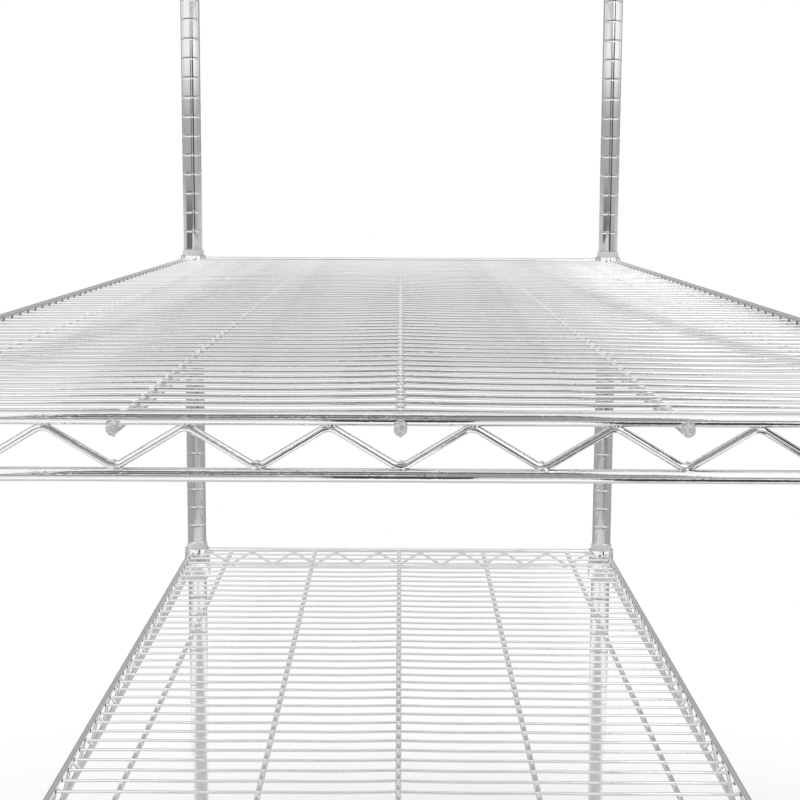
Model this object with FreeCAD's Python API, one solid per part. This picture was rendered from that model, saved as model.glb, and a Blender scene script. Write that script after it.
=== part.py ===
import FreeCAD, Part
import math
import os

# Wire shelving unit: welded wire shelves held on four grooved posts by tapered split sleeves.
# Millimetres, +Z up. The origin is on the floor under the middle of the unit.
# X runs along the long sides and Y along the short ends.

# Overall size, measured over the corner collars
unit_length = 1500.0
unit_depth = 600.0
shelf_count = 5

# Posts: steel tube with grooves rolled round it at a steady pitch
post_diameter = 25.4
post_wall = 1.2
post_length = 1774.6
groove_pitch = 25.4
groove_width = 2.4
groove_floor_width = 1.2
groove_depth = 0.5
lowest_shelf_groove = 4

# Post caps: moulded plug with a low domed head
cap_plug_length = 14.0
cap_head_height = 5.4
cap_rim_height = 1.6

# Split sleeves: two moulded halves, thicker at the bottom, with a bead inside that sits in a groove
sleeve_height = 50.0
sleeve_top_wall = 1.3
sleeve_bottom_wall = 3.0
sleeve_split = 0.6
bead_width = 1.4
bead_height = 0.35

# Corner collars: tapered steel rings that wedge down over the sleeves
collar_height = 38.0
collar_wall = 2.0
collar_below_sleeve_top = 7.0
collar_rim_chamfer = 0.5

# Shelf edges: an upper and a lower rail with a zigzag wire welded between them
rail_diameter = 6.0
rail_spacing = 23.7
rail_below_collar_top = 2.5
rail_outside_post = 8.0
truss_wire_diameter = 3.4
truss_bend_radius = 6.2
truss_tail = 12.0

# Shelf deck: stringers along the shelf under deck wires that run across it.
# The welds press the end rails and the deck wires a little way into the stringers.
stringer_diameter = 5.4
stringer_spacing = 118.0
stringer_overhang = 1.5
deck_wire_diameter = 2.6
deck_pitch = 24.3
rail_weld_depth = 1.6
deck_weld_depth = 0.6

# Levelling feet: a stud with a hexagon that turns on a round glide
glide_diameter = 31.0
glide_top_diameter = 22.0
glide_height = 11.0
glide_edge_height = 4.5
glide_floor_chamfer = 1.0
hexagon_across_flats = 17.0
hexagon_height = 8.4
hexagon_corner_drop = 1.2
stud_diameter = 8.9
stud_length = 35.0
pivot_diameter = 8.0
pivot_length = 7.0
insert_length = 20.0

# Clearances
weld_gap = 0.05
press_clearance = 0.05
sleeve_clearance = 0.1
collar_clearance = 0.3
thread_clearance = 0.3
foot_clearance = 0.3

# Sizes that follow from the ones above
post_radius = post_diameter / 2
post_bore_radius = post_radius - post_wall
rail_radius = rail_diameter / 2
truss_wire_radius = truss_wire_diameter / 2
stringer_radius = stringer_diameter / 2
deck_wire_radius = deck_wire_diameter / 2
foot_height = glide_height + foot_clearance + hexagon_height + foot_clearance
sleeve_bore_radius = post_radius + sleeve_clearance
collar_top = sleeve_height - collar_below_sleeve_top
collar_base = collar_top - collar_height


def sleeve_radius(height):
    """Outer radius of the tapered sleeve at a height above its lower end."""
    thinning = (sleeve_bottom_wall - sleeve_top_wall) * height / sleeve_height
    return sleeve_bore_radius + sleeve_bottom_wall - thinning


def collar_bore_radius(height):
    """Radius of the tapered bore of a collar at a height above the sleeve's lower end."""
    return sleeve_radius(height) + collar_clearance


def collar_radius(height):
    """Outer radius of a collar at a height above the sleeve's lower end."""
    return collar_bore_radius(height) + collar_wall


post_x = unit_length / 2 - collar_radius(collar_base)
post_y = unit_depth / 2 - collar_radius(collar_base)
end_rail_x = post_x + rail_outside_post
side_rail_y = post_y + rail_outside_post

# Heights on a shelf, above the lower end of its sleeves
top_rail_height = collar_top - rail_below_collar_top - rail_radius
bottom_rail_height = top_rail_height - rail_spacing
stringer_height = top_rail_height - rail_radius - stringer_radius + rail_weld_depth
deck_height = stringer_height + stringer_radius + deck_wire_radius - deck_weld_depth
truss_high = top_rail_height - rail_radius - weld_gap - truss_wire_radius
truss_low = bottom_rail_height + rail_radius + weld_gap + truss_wire_radius

# The shelves share out the grooves evenly, from the lowest one up to the last that takes a whole sleeve
highest_shelf_groove = math.floor((post_length - sleeve_height / 2) / groove_pitch)
grooves_per_shelf = (highest_shelf_groove - lowest_shelf_groove) // (shelf_count - 1)
shelf_grooves = [lowest_shelf_groove + grooves_per_shelf * step for step in range(shelf_count)]

corners = {
    "front_left": (-post_x, -post_y),
    "front_right": (post_x, -post_y),
    "back_left": (-post_x, post_y),
    "back_right": (post_x, post_y),
}
up = FreeCAD.Vector(0, 0, 1)


def turned(outline):
    """Solid turned about Z from a closed outline of (radius, height) points."""
    points = [FreeCAD.Vector(radius, 0, height) for radius, height in outline]
    face = Part.Face(Part.makePolygon(points + points[:1]))
    return face.revolve(FreeCAD.Vector(0, 0, 0), up, 360)


def moved(shape, x, y, z):
    """Copy of a shape, shifted."""
    copy = shape.copy()
    copy.translate(FreeCAD.Vector(x, y, z))
    return copy


def at_corners(shape, height):
    """One copy of a shape on each post's axis."""
    return [moved(shape, x, y, height) for x, y in corners.values()]


def round_bar(radius, start, end):
    """Straight round wire between two points."""
    return Part.makeCylinder(radius, (end - start).Length, start, end - start)


def cross_bar(radius, x, half_length, height):
    """Round wire that runs across the shelf."""
    start = FreeCAD.Vector(x, -half_length, height)
    finish = FreeCAD.Vector(x, half_length, height)
    return round_bar(radius, start, finish)


# Post: tube with a shallow groove at each step of the pitch
def make_post():
    outline = [(post_bore_radius, 0), (post_radius, 0)]
    groove_floor = post_radius - groove_depth
    groove_total = math.floor(post_length / groove_pitch - 1 / 2)
    for number in range(1, groove_total + 1):
        middle = number * groove_pitch
        outline.append((post_radius, middle - groove_width / 2))
        outline.append((groove_floor, middle - groove_floor_width / 2))
        outline.append((groove_floor, middle + groove_floor_width / 2))
        outline.append((post_radius, middle + groove_width / 2))
    outline.append((post_radius, post_length))
    outline.append((post_bore_radius, post_length))
    return turned(outline)


# Post cap: the plug fills the tube's end and the head covers its rim
def make_cap():
    plug_radius = post_bore_radius - press_clearance
    dome_rise = cap_head_height - cap_rim_height
    dome_radius = (post_radius ** 2 + dome_rise ** 2) / (2 * dome_rise)
    half_angle = math.asin(post_radius / dome_radius) / 2
    corner_points = [
        FreeCAD.Vector(0, 0, cap_head_height),
        FreeCAD.Vector(0, 0, -cap_plug_length),
        FreeCAD.Vector(plug_radius, 0, -cap_plug_length),
        FreeCAD.Vector(plug_radius, 0, 0),
        FreeCAD.Vector(post_radius, 0, 0),
        FreeCAD.Vector(post_radius, 0, cap_rim_height),
    ]
    dome_middle = FreeCAD.Vector(
        dome_radius * math.sin(half_angle),
        0,
        cap_head_height - dome_radius * (1 - math.cos(half_angle)),
    )
    edges = Part.makePolygon(corner_points).Edges
    edges.append(Part.Arc(corner_points[-1], dome_middle, corner_points[0]).toShape())
    return Part.Face(Part.Wire(edges)).revolve(FreeCAD.Vector(0, 0, 0), up, 360)


# Split sleeve: a tapered shell with its inner bead, sawn into two halves
def make_sleeve_halves():
    middle = sleeve_height / 2
    bead_radius = sleeve_bore_radius - bead_height
    shell = turned([
        (sleeve_bore_radius, 0),
        (sleeve_radius(0), 0),
        (sleeve_radius(sleeve_height), sleeve_height),
        (sleeve_bore_radius, sleeve_height),
        (sleeve_bore_radius, middle + bead_width / 2),
        (bead_radius, middle),
        (sleeve_bore_radius, middle - bead_width / 2),
    ])
    reach = 2 * sleeve_radius(0)
    saw_cut = Part.makeBox(sleeve_split, reach, sleeve_height)
    saw_cut.translate(FreeCAD.Vector(-sleeve_split / 2, -reach / 2, 0))
    return shell.cut(saw_cut).Solids


# Corner collar: tapered ring with broken edges outside
def make_collar():
    outer_base = collar_radius(collar_base)
    outer_top = collar_radius(collar_top)
    return turned([
        (collar_bore_radius(collar_base), collar_base),
        (outer_base - collar_rim_chamfer, collar_base),
        (outer_base, collar_base + collar_rim_chamfer),
        (outer_top, collar_top - collar_rim_chamfer),
        (outer_top - collar_rim_chamfer, collar_top),
        (collar_bore_radius(collar_top), collar_top),
    ])


# Room that a welded wire leaves for the four collars
def make_collar_envelope():
    cone = Part.makeCone(
        collar_radius(collar_base) + weld_gap,
        collar_radius(collar_top) + weld_gap,
        collar_height,
        FreeCAD.Vector(0, 0, collar_base),
    )
    return Part.makeCompound(at_corners(cone, 0))


def trimmed(wire, envelope):
    """The long middle piece of a wire that is cut back to the collars' outsides."""
    return max(wire.cut(envelope).Solids, key=lambda piece: piece.Volume)


# Rails: one along each edge of the shelf at a given height
def make_rails(height, envelope):
    rails = []
    for side in (-1, 1):
        end_start = FreeCAD.Vector(side * end_rail_x, -post_y, height)
        end_finish = FreeCAD.Vector(side * end_rail_x, post_y, height)
        rails.append(trimmed(round_bar(rail_radius, end_start, end_finish), envelope))
        side_start = FreeCAD.Vector(-post_x, side * side_rail_y, height)
        side_finish = FreeCAD.Vector(post_x, side * side_rail_y, height)
        rails.append(trimmed(round_bar(rail_radius, side_start, side_finish), envelope))
    return rails


# Zigzag wire: straight strands joined by tangent bends, peaks at both ends
def make_zigzag(place, along, pitch, count):
    radius = truss_bend_radius
    step = pitch / 2
    rise = truss_high - truss_low - 2 * radius
    slope = math.atan2(rise, step) + math.asin(2 * radius / math.hypot(step, rise))
    across = radius * math.sin(slope)
    down = radius * (1 - math.cos(slope))
    half_across = radius * math.sin(slope / 2)
    half_down = radius * (1 - math.cos(slope / 2))
    first = -pitch * count / 2
    last = pitch * count / 2

    def line(start, finish):
        return Part.LineSegment(place(*start), place(*finish)).toShape()

    def bend(start, middle, finish):
        return Part.Arc(place(*start), place(*middle), place(*finish)).toShape()

    begin = (first - truss_tail, truss_high)
    leaving = (first + across, truss_high - down)
    edges = [line(begin, (first, truss_high))]
    edges.append(bend((first, truss_high), (first + half_across, truss_high - half_down), leaving))
    for number in range(1, 2 * count):
        crest = first + number * step
        is_valley = number % 2 == 1
        level = truss_low if is_valley else truss_high
        lift = down if is_valley else -down
        entering = (crest - across, level + lift)
        edges.append(line(leaving, entering))
        leaving = (crest + across, level + lift)
        edges.append(bend(entering, (crest, level), leaving))
    entering = (last - across, truss_high - down)
    edges.append(line(leaving, entering))
    edges.append(bend(entering, (last - half_across, truss_high - half_down), (last, truss_high)))
    edges.append(line((last, truss_high), (last + truss_tail, truss_high)))
    section = Part.Wire(Part.Circle(place(*begin), along, truss_wire_radius).toShape())
    return Part.Wire(edges).makePipeShell([section], True, False)


# Truss wires: on the ends every second valley lies under a stringer,
# and on the sides the pitch is the nearest one that divides the length between the collars
def make_truss_wires(envelope):
    chord = math.sqrt(collar_radius(collar_top) ** 2 - rail_outside_post ** 2)
    end_pitch = stringer_spacing / 2
    end_count = math.floor(2 * (post_y - chord) / end_pitch)
    end_count = end_count - 1 + end_count % 2
    side_length = 2 * (post_x - chord)
    side_count = round(side_length / end_pitch)
    side_pitch = side_length / side_count
    wires = []
    for side in (-1, 1):
        def on_end(distance, height, x=side * end_rail_x):
            return FreeCAD.Vector(x, distance, height)

        def on_side(distance, height, y=side * side_rail_y):
            return FreeCAD.Vector(distance, y, height)

        end_wire = make_zigzag(on_end, FreeCAD.Vector(0, 1, 0), end_pitch, end_count)
        wires.append(trimmed(end_wire, envelope))
        side_wire = make_zigzag(on_side, FreeCAD.Vector(1, 0, 0), side_pitch, side_count)
        wires.append(trimmed(side_wire, envelope))
    return wires


# Places of the deck wires along the shelf, evenly between the end rails
def deck_places():
    spaces = round(2 * end_rail_x / deck_pitch)
    return [-end_rail_x + number * 2 * end_rail_x / spaces for number in range(1, spaces)]


# Stringers: run the length of the shelf, with a weld notch at each wire that crosses them,
# and end just outside the end rails they are welded under
def make_stringers():
    end_x = end_rail_x + rail_radius + stringer_overhang
    start = FreeCAD.Vector(-end_x, 0, stringer_height)
    finish = FreeCAD.Vector(end_x, 0, stringer_height)
    notches = []
    for x in deck_places():
        notches.append(cross_bar(deck_wire_radius + weld_gap, x, stringer_diameter, deck_height))
    for x in (-end_rail_x, end_rail_x):
        notches.append(cross_bar(rail_radius + weld_gap, x, stringer_diameter, top_rail_height))
    stringer = round_bar(stringer_radius, start, finish).cut(notches).Solids[0]
    room = side_rail_y - rail_radius - stringer_radius - weld_gap
    each_side = math.floor(room / stringer_spacing)
    return [moved(stringer, 0, number * stringer_spacing, 0) for number in range(-each_side, each_side + 1)]


# Deck wires: lie across the stringers and butt against the inside of the side rails
def make_deck_wires(envelope):
    end_y = side_rail_y - rail_radius - weld_gap
    wires = []
    for x in deck_places():
        wires.append(trimmed(cross_bar(deck_wire_radius, x, end_y, deck_height), envelope))
    return wires


# Foot insert: threaded plug in the post's lower end
def make_insert():
    thread_radius = stud_diameter / 2 + thread_clearance
    return turned([
        (thread_radius, 0),
        (post_bore_radius - press_clearance, 0),
        (post_bore_radius - press_clearance, insert_length),
        (thread_radius, insert_length),
    ])


# Foot stud: hexagon for a spanner, threaded stud above it and pivot below
def make_stud():
    base = glide_height + foot_clearance
    corner_radius = hexagon_across_flats / math.sqrt(3)
    points = []
    for number in range(7):
        angle = math.radians(60 * number)
        points.append(FreeCAD.Vector(corner_radius * math.cos(angle), corner_radius * math.sin(angle), base))
    prism = Part.Face(Part.makePolygon(points)).extrude(up * hexagon_height)
    rounding = turned([
        (0, base),
        (corner_radius, base),
        (corner_radius, base + hexagon_height - hexagon_corner_drop),
        (hexagon_across_flats / 2, base + hexagon_height),
        (0, base + hexagon_height),
    ])
    stud = Part.makeCylinder(stud_diameter / 2, stud_length, FreeCAD.Vector(0, 0, base + hexagon_height))
    pivot = Part.makeCylinder(pivot_diameter / 2, pivot_length, FreeCAD.Vector(0, 0, base - pivot_length))
    return prism.common(rounding).fuse([stud, pivot]).removeSplitter().Solids[0]


# Foot glide: round pad with a socket for the stud's pivot
def make_glide():
    glide_radius = glide_diameter / 2
    socket_radius = pivot_diameter / 2 + foot_clearance
    socket_floor = glide_height - pivot_length
    return turned([
        (0, 0),
        (glide_radius - glide_floor_chamfer, 0),
        (glide_radius, glide_floor_chamfer),
        (glide_radius, glide_edge_height),
        (glide_top_diameter / 2, glide_height),
        (socket_radius, glide_height),
        (socket_radius, socket_floor),
        (0, socket_floor),
    ])


def export(node, solids):
    """Write the solids of one node."""
    for solid in solids:
        if not solid.isValid() or solid.Volume <= 0:
            raise ValueError("bad solid in " + node)
    shape = solids[0] if len(solids) == 1 else Part.makeCompound(solids)
    shape.exportStep("parts/" + node + ".step")
    print(node, len(solids), "solids", round(sum(solid.Volume for solid in solids), 1), "mm3")


os.makedirs("parts", exist_ok=True)

post = make_post()
cap = make_cap()
stud = make_stud()
glide = make_glide()
for corner, (x, y) in corners.items():
    export("post_" + corner, [moved(post, x, y, foot_height)])
    export("post_cap_" + corner, [moved(cap, x, y, foot_height + post_length)])
    export("foot_stud_" + corner, [moved(stud, x, y, 0)])
    export("foot_glide_" + corner, [moved(glide, x, y, 0)])
export("foot_inserts", at_corners(make_insert(), foot_height))

collar_envelope = make_collar_envelope()
shelf_pieces = {
    "top_rails": make_rails(top_rail_height, collar_envelope),
    "bottom_rails": make_rails(bottom_rail_height, collar_envelope),
    "truss_wires": make_truss_wires(collar_envelope),
    "stringers": make_stringers(),
    "deck_wires": make_deck_wires(collar_envelope),
    "corner_collars": at_corners(make_collar(), 0),
}
sleeve_halves = [copy for half in make_sleeve_halves() for copy in at_corners(half, 0)]
for number, groove in enumerate(shelf_grooves, start=1):
    shelf_base = foot_height + groove * groove_pitch - sleeve_height / 2
    export("split_sleeves_" + str(number), [moved(half, 0, 0, shelf_base) for half in sleeve_halves])
    for piece, solids in shelf_pieces.items():
        node = "shelf_" + str(number) + "_" + piece
        export(node, [moved(solid, 0, 0, shelf_base) for solid in solids])
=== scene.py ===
import math
import random

import bmesh
import bpy
from mathutils import Euler, Matrix, Vector


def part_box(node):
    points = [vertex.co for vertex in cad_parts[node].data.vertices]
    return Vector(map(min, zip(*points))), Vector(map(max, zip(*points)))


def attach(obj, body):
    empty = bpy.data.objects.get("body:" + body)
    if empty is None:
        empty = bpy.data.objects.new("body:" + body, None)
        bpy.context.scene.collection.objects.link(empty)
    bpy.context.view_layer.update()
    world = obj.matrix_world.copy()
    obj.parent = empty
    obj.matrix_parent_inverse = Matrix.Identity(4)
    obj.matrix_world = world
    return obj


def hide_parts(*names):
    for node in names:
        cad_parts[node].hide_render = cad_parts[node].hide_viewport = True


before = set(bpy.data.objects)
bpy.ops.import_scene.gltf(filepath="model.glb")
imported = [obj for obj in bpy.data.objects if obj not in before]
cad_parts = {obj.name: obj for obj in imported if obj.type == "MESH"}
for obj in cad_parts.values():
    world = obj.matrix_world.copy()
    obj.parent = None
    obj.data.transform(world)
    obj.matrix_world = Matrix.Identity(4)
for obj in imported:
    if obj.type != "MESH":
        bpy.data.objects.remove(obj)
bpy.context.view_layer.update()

# Posts
# Each post is a steel tube one inch across with a shallow groove rolled round it at every inch.
# It is chrome plated after rolling, so the bright plating follows the grooves.
post_low, post_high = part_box("post_front_right")
post_x = (post_low.x + post_high.x) / 2
post_y = -(post_low.y + post_high.y) / 2
post_radius = (post_high.x - post_low.x) / 2
post_base = post_low.z
post_top = post_high.z
post_wall = 0.0012
post_rim = 0.0004
post_sides = 56
groove_pitch = 0.0254
groove_depth = 0.00015
groove_half_width = 0.0017
groove_shoulder = 1.5 * groove_half_width
groove_steps = 8
weld_distance = 1e-7
corner_places = {
    "front_left": (-post_x, -post_y),
    "front_right": (post_x, -post_y),
    "back_left": (-post_x, post_y),
    "back_right": (post_x, post_y),
}


def finish_mesh(name, surface, sharp_angle=40):
    """Mesh of a surface, welded at doubled points, smooth except at edges over an angle in degrees."""
    points, faces, places = surface
    shape = bpy.data.meshes.new(name)
    shape.from_pydata(points, [], faces)
    lengthwise = shape.attributes.new("lengthwise", "FLOAT_VECTOR", "POINT")
    lengthwise.data.foreach_set("vector", [number for place in places for number in place])
    editor = bmesh.new()
    editor.from_mesh(shape)
    bmesh.ops.remove_doubles(editor, verts=editor.verts, dist=weld_distance)
    bmesh.ops.dissolve_degenerate(editor, edges=editor.edges, dist=weld_distance)
    bmesh.ops.recalc_face_normals(editor, faces=editor.faces)
    editor.to_mesh(shape)
    editor.free()
    shape.shade_smooth()
    shape.set_sharp_from_angle(angle=math.radians(sharp_angle))
    return shape


def ring_faces(rings, count, closed=False, around=True):
    """Four-sided faces between rings of points. The last ring may close on the first."""
    faces = []
    for ring in range(rings if closed else rings - 1):
        start = ring * count
        end = (ring + 1) % rings * count
        for number in range(count if around else count - 1):
            after = (number + 1) % count
            faces.append((start + number, end + number, end + after, start + after))
    return faces


def at_angle(outline, angle):
    """An outline of (radius, height) points, stood at an angle about Z."""
    return [(radius * math.cos(angle), radius * math.sin(angle), height) for radius, height in outline]


def turned_surface(outline, sides, first=0.0, last=2 * math.pi):
    """Surface of a closed outline of (radius, height) points that is turned about Z."""
    whole_turn = last - first >= 2 * math.pi
    stations = sides if whole_turn else sides + 1
    count = len(outline)
    points = []
    for station in range(stations):
        points += at_angle(outline, first + (last - first) * station / sides)
    faces = ring_faces(stations, count, closed=whole_turn)
    if not whole_turn:
        faces.append(tuple(range(count)))
        faces.append(tuple(range(sides * count, stations * count)))
    places = [(z, x, y) for x, y, z in points]
    return points, faces, places


def shifted(surface, x, y, z):
    """The surface, moved."""
    points, faces, places = surface
    return [(px + x, py + y, pz + z) for px, py, pz in points], faces, places


def add_piece(name, shape, material, body, nodes, height=0.0):
    """Place a mesh at a height, give it its finish and let it ride on its body in place of its nodes."""
    piece = bpy.data.objects.new(name, shape)
    piece.location.z = height
    bpy.context.scene.collection.objects.link(piece)
    if not shape.materials:
        shape.materials.append(material)
    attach(piece, body)
    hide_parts(*nodes)


def add_to_corners(name, surface, height, material, node, body=None, sharp_angle=40):
    """Put one like piece at each corner, in place of that corner's node, on a body or on the node's own."""
    for corner, (x, y) in corner_places.items():
        piece_name = f"{name}_{corner}"
        corner_node = f"{node}_{corner}"
        shape = finish_mesh(piece_name, shifted(surface, x, y, height), sharp_angle)
        add_piece(piece_name, shape, material, body or corner_node, [corner_node])


def feed(tree, node, inputs):
    """Set a shader node's inputs: another node's output is linked, a number or colour is set on the input."""
    for name, value in inputs.items():
        if isinstance(value, bpy.types.NodeSocket):
            tree.links.new(value, node.inputs[name])
        else:
            node.inputs[name].default_value = value


def add_node(tree, kind, inputs, output=0):
    """New shader node with its inputs. Gives one of its outputs, the first if none is named."""
    node = tree.nodes.new("ShaderNode" + kind)
    feed(tree, node, inputs)
    return node.outputs[output]


def add_span(tree, value, low=0.0, high=1.0, low_result=0.0, high_result=1.0, curve="LINEAR"):
    """A value carried over from one span of numbers to another."""
    span = tree.nodes.new("ShaderNodeMapRange")
    span.interpolation_type = curve
    limits = {"From Min": low, "From Max": high, "To Min": low_result, "To Max": high_result}
    feed(tree, span, {"Value": value, **limits})
    return span.outputs["Result"]


def add_ramp(tree, value, stops):
    """Colours over a value, from stops of (position, colour)."""
    ramp = tree.nodes.new("ShaderNodeValToRGB")
    elements = ramp.color_ramp.elements
    for number, (position, colour) in enumerate(stops):
        stop = elements[number] if number < 2 else elements.new(position)
        stop.position = position
        stop.color = (*colour, 1)
    feed(tree, ramp, {"Fac": value})
    return ramp.outputs["Color"]


def new_finish(name):
    """New material and its node tree."""
    material = bpy.data.materials.new(name)
    material.use_nodes = True
    return material, material.node_tree


def set_shader(tree, metallic, tint, rough, relief):
    """Feed the material's shader with its colour, roughness and relief."""
    shader = tree.nodes["Principled BSDF"]
    feed(tree, shader, {"Metallic": metallic, "Base Color": tint, "Roughness": rough, "Normal": relief})


def chrome_finish(name, light, dull, sheen, streak_depth, pit_depth):
    """Bright chrome plate over drawn steel: cloudy tint, streaks along the metal and small pits."""
    material, tree = new_finish(name)
    lengthwise = tree.nodes.new("ShaderNodeAttribute")
    lengthwise.attribute_name = "lengthwise"
    place = lengthwise.outputs["Vector"]
    clouds = add_node(tree, "TexNoise", {"Vector": place, "Scale": 38.0, "Detail": 4.0})
    tint = add_ramp(tree, clouds, [(0.3, dull), (0.7, light)])
    drawn_out = add_node(tree, "Mapping", {"Vector": place, "Scale": (0.2, 1, 1)})
    streaks = add_node(tree, "TexNoise", {"Vector": drawn_out, "Scale": 2300.0, "Detail": 2.0})
    patches = add_span(tree, clouds, low=0.4, high=0.65)
    rough = add_span(tree, streaks, low=0.3, high=0.75, low_result=sheen, high_result=sheen * 2.2)
    streak_relief = add_node(tree, "Bump", {"Strength": patches, "Distance": streak_depth, "Height": streaks})
    pits = add_node(tree, "TexNoise", {"Vector": place, "Scale": 900.0, "Detail": 3.0})
    relief = add_node(tree, "Bump", {"Distance": pit_depth, "Height": pits, "Normal": streak_relief})
    set_shader(tree, 1.0, tint, rough, relief)
    return material


def post_outline():
    """Section of the tube: rolled grooves outside, plain bore inside."""
    bore = post_radius - post_wall
    outline = [
        (bore, 0.0),
        (post_radius - post_rim, 0.0),
        (post_radius, post_rim),
    ]
    length = post_top - post_base
    # The last groove stays at least half a pitch below the top
    groove_total = math.floor(length / groove_pitch - 0.5)
    for number in range(1, groove_total + 1):
        middle = number * groove_pitch
        outline.append((post_radius, middle - groove_shoulder))
        for step in range(groove_steps + 1):
            across = 2 * step / groove_steps - 1
            dip = groove_depth * (1 + math.cos(math.pi * across)) / 2
            outline.append((post_radius - dip, middle + groove_half_width * across))
        outline.append((post_radius, middle + groove_shoulder))
    outline.append((post_radius, length - post_rim))
    outline.append((post_radius - post_rim, length))
    outline.append((bore, length))
    return outline


post_chrome = chrome_finish(
    "post_chrome",
    light=(0.92, 0.92, 0.9246),
    dull=(0.87, 0.87, 0.8787),
    sheen=0.03,
    streak_depth=0.000004,
    pit_depth=0.000003,
)
post_surface = turned_surface(post_outline(), post_sides)
add_to_corners(
    "post_tube", post_surface, post_base, post_chrome, "post", body="uprights", sharp_angle=50)

# Post caps
# Each cap is a moulded plastic plug pressed into the top of its post.
# Its low domed head covers the rim of the tube.
cap_low, cap_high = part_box("post_cap_front_right")
cap_rim_height = 0.0016
cap_edge = 0.0005
cap_clearance = 0.00005
cap_plug_radius = post_radius - post_wall - cap_clearance
cap_sides = 48
dome_steps = 9


def moulded_plastic(name, colour, shade, smoothest, roughest, grain_depth):
    """Moulded plastic: a slightly mottled colour with a fine spark-eroded grain."""
    material, tree = new_finish(name)
    place = add_node(tree, "TexCoord", {}, "Object")
    mottle = add_node(tree, "TexNoise", {"Vector": place, "Scale": 160.0, "Detail": 5.0})
    tint = add_ramp(tree, mottle, [(0.32, shade), (0.68, colour)])
    grain = add_node(tree, "TexNoise", {"Vector": place, "Scale": 2600.0, "Detail": 2.0})
    rough = add_span(tree, grain, low_result=smoothest, high_result=roughest)
    relief = add_node(tree, "Bump", {"Distance": grain_depth, "Height": grain})
    set_shader(tree, 0.0, tint, rough, relief)
    return material


def cap_outline():
    """Section of the plug and its domed head, from the lower middle to the upper middle."""
    plug_end = cap_low.z - post_top
    head_height = cap_high.z - post_top
    outline = [
        (0.0, plug_end),
        (cap_plug_radius - cap_edge, plug_end),
        (cap_plug_radius, plug_end + cap_edge),
        (cap_plug_radius, 0.0),
        (post_radius - cap_edge, 0.0),
        (post_radius, cap_edge),
        (post_radius, cap_rim_height - cap_edge),
    ]
    for step in range(dome_steps + 1):
        share = step / dome_steps
        radius = (post_radius - cap_edge / 2) * math.cos(share * math.pi / 2)
        rise = (head_height - cap_rim_height) * math.sin(share * math.pi / 2)
        outline.append((radius, cap_rim_height + rise))
    return outline


cap_plastic = moulded_plastic(
    "cap_plastic",
    colour=(0.05, 0.05, 0.053),
    shade=(0.035, 0.035, 0.038),
    smoothest=0.34,
    roughest=0.5,
    grain_depth=0.00001,
)
cap_surface = turned_surface(cap_outline(), cap_sides)
add_to_corners(
    "post_cap_moulding", cap_surface, post_top, cap_plastic, "post_cap", body="uprights")

# Foot inserts
# A threaded steel plug is pressed into the lower end of each post to take the levelling foot.
# It is zinc plated, and only its lower face shows.


def zinc_finish(name):
    """Zinc plate: soft grey metal with faint crystal patches."""
    material, tree = new_finish(name)
    place = add_node(tree, "TexCoord", {}, "Object")
    crystals = add_node(tree, "TexVoronoi", {"Vector": place, "Scale": 420.0}, "Color")
    tint = add_ramp(tree, crystals, [(0.0, (0.52, 0.53, 0.54)), (1.0, (0.66, 0.67, 0.68))])
    scratches = add_node(tree, "TexNoise", {"Vector": place, "Scale": 900.0, "Detail": 4.0})
    rough = add_span(tree, scratches, low_result=0.22, high_result=0.42)
    relief = add_node(tree, "Bump", {"Distance": 0.00001, "Height": scratches})
    set_shader(tree, 1.0, tint, rough, relief)
    return material


zinc_plate = zinc_finish("zinc_plate")
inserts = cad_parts["foot_inserts"]
inserts.data.materials.clear()
inserts.data.materials.append(zinc_plate)

# Foot studs
# Each levelling foot has a steel stud with a rolled thread and a hexagon for a spanner.
# It screws into the insert, and its plain lower end turns in the glide.
stud_low, stud_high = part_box("foot_stud_front_right")
glide_low, glide_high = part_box("foot_glide_front_right")
stud_gap = 0.0003
hexagon_base = glide_high.z + stud_gap
hexagon_height = 0.0084
hexagon_top = hexagon_base + hexagon_height
hexagon_flat_radius = 0.0085
hexagon_face_radius = 0.96 * hexagon_flat_radius
hexagon_corner_drop = 0.0012
hexagon_points = 48
pivot_radius = 0.004
pivot_edge = 0.0004
thread_pitch = 0.0015875
thread_root = 0.0041
thread_crest = 0.0047
thread_profile = [(thread_root, 0.0), (thread_crest, 0.42), (thread_crest, 0.58), (thread_root, 1.0)]
thread_sides = 24
stud_tip = 0.0006


def joined_surfaces(surfaces):
    """One surface from several."""
    points = []
    faces = []
    places = []
    for more_points, more_faces, more_places in surfaces:
        start = len(points)
        points.extend(more_points)
        faces.extend(tuple(start + index for index in face) for face in more_faces)
        places.extend(more_places)
    return points, faces, places


def hexagon_surface():
    """Hexagon with turned corners, a plain pivot below it and a neck above."""
    corner_radius = hexagon_flat_radius / math.cos(math.pi / 6)
    points = []
    for number in range(hexagon_points):
        angle = 2 * math.pi * number / hexagon_points
        from_flat = (angle % (math.pi / 3)) - math.pi / 6
        reach = hexagon_flat_radius / math.cos(from_flat)
        drop = hexagon_corner_drop * (reach - hexagon_face_radius) / (corner_radius - hexagon_face_radius)
        outline = [
            (0.0, stud_low.z),
            (pivot_radius - pivot_edge, stud_low.z),
            (pivot_radius, stud_low.z + pivot_edge),
            (pivot_radius, hexagon_base),
            (hexagon_face_radius, hexagon_base),
            (reach, hexagon_base + drop),
            (reach, hexagon_top - drop),
            (hexagon_face_radius, hexagon_top),
            (thread_root, hexagon_top),
            (0.0, hexagon_top),
        ]
        points += at_angle(outline, angle)
    faces = ring_faces(hexagon_points, len(outline), closed=True, around=False)
    return points, faces, points


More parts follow.
